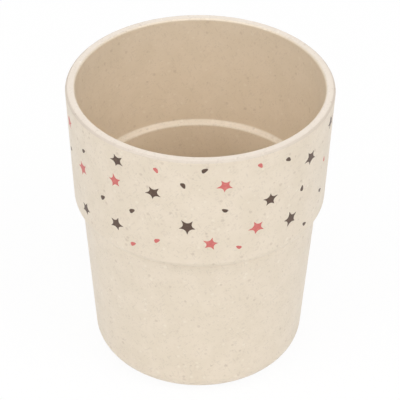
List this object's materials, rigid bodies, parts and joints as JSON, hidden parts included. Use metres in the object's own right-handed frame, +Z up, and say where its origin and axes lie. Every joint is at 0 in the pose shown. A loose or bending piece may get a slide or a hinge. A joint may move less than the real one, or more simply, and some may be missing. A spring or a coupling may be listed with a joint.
{
  "type": "stacking tumbler",
  "caption": "Child's stacking tumbler in plant-fibre moulding compound, with a wider band over a step and a scattered print of stars and dots.",
  "frame": {"origin": "centre of the foot ring, on the surface that the cup stands on", "axes": "+Z up along the cup's axis, -Y towards the front of the print"},
  "size_m": [0.08, 0.08, 0.0935],
  "materials": {
    "fibre_compound": "satin",
    "dark_print": "satin",
    "coral_print": "satin"
  },
  "bodies": {
    "root": {"cup_shell": "fibre_compound", "dark_stars": "dark_print", "coral_stars": "coral_print", "dark_dots": "dark_print", "coral_dots": "coral_print"}
  },
  "joints": []
}
